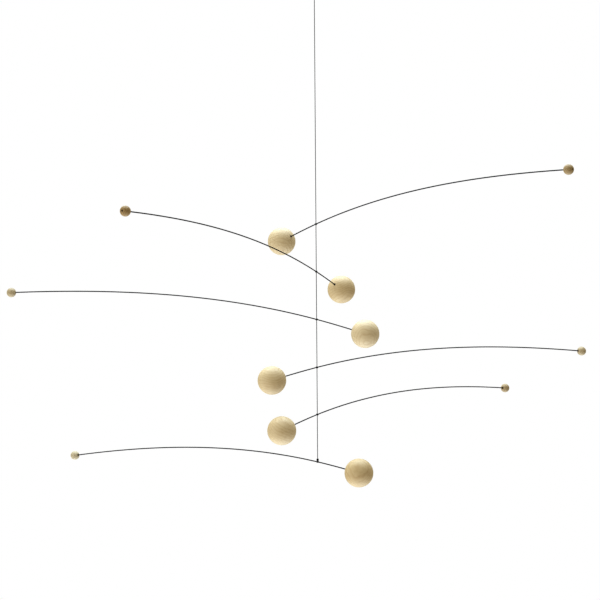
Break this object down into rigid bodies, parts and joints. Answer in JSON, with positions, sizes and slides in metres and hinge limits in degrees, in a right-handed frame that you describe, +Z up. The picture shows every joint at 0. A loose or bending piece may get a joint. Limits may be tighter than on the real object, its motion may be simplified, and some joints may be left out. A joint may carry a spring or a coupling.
{
  "type": "hanging mobile",
  "caption": "Hanging mobile: shallow steel wire arms on one thread, each balanced by a large wooden ball near the thread and a small one far out, and free to turn.",
  "frame": {"origin": "inside the top of the thread's loop, where a hook carries the mobile; the whole mobile hangs below it", "axes": "+Z up along the thread; -Y faces the viewer of the picture and +X is to the viewer's right"},
  "size_m": [0.6403, 0.5328, 0.545],
  "materials": {
    "large_ball_wood": "plain pale hardwood, sanded smooth, matte",
    "small_ball_wood": "plain pale hardwood, sanded smooth, matte",
    "wire": "blackened spring steel wire, satin",
    "thread": "thin twisted dark nylon thread",
    "sleeve": "black, satin"
  },
  "bodies": {
    "root": {"thread": "thread", "hanging_loop": "thread", "loop_knot": "thread", "end_sleeve": "sleeve"},
    "arm_1": {"arm_1_wire": "wire", "arm_1_large_ball": "large_ball_wood", "arm_1_small_ball": "small_ball_wood"},
    "arm_2": {"arm_2_wire": "wire", "arm_2_large_ball": "large_ball_wood", "arm_2_small_ball": "small_ball_wood"},
    "arm_3": {"arm_3_wire": "wire", "arm_3_large_ball": "large_ball_wood", "arm_3_small_ball": "small_ball_wood"},
    "arm_4": {"arm_4_wire": "wire", "arm_4_large_ball": "large_ball_wood", "arm_4_small_ball": "small_ball_wood"},
    "arm_5": {"arm_5_wire": "wire", "arm_5_large_ball": "large_ball_wood", "arm_5_small_ball": "small_ball_wood"},
    "arm_6": {"arm_6_wire": "wire", "arm_6_large_ball": "large_ball_wood", "arm_6_small_ball": "small_ball_wood"}
  },
  "joints": [
    {"name": "arm_1_swivel", "type": "hinge", "parent": "root", "child": "arm_1", "pos_m": [0, 0, -0.265], "axis": [0, 0, 1], "continuous": true},
    {"name": "arm_2_swivel", "type": "hinge", "parent": "root", "child": "arm_2", "pos_m": [0, 0, -0.316], "axis": [0, 0, 1], "continuous": true},
    {"name": "arm_3_swivel", "type": "hinge", "parent": "root", "child": "arm_3", "pos_m": [0, 0, -0.367], "axis": [0, 0, 1], "continuous": true},
    {"name": "arm_4_swivel", "type": "hinge", "parent": "root", "child": "arm_4", "pos_m": [0, 0, -0.418], "axis": [0, 0, 1], "continuous": true},
    {"name": "arm_5_swivel", "type": "hinge", "parent": "root", "child": "arm_5", "pos_m": [0, 0, -0.468], "axis": [0, 0, 1], "continuous": true},
    {"name": "arm_6_swivel", "type": "hinge", "parent": "root", "child": "arm_6", "pos_m": [0, 0, -0.518], "axis": [0, 0, 1], "continuous": true}
  ]
}
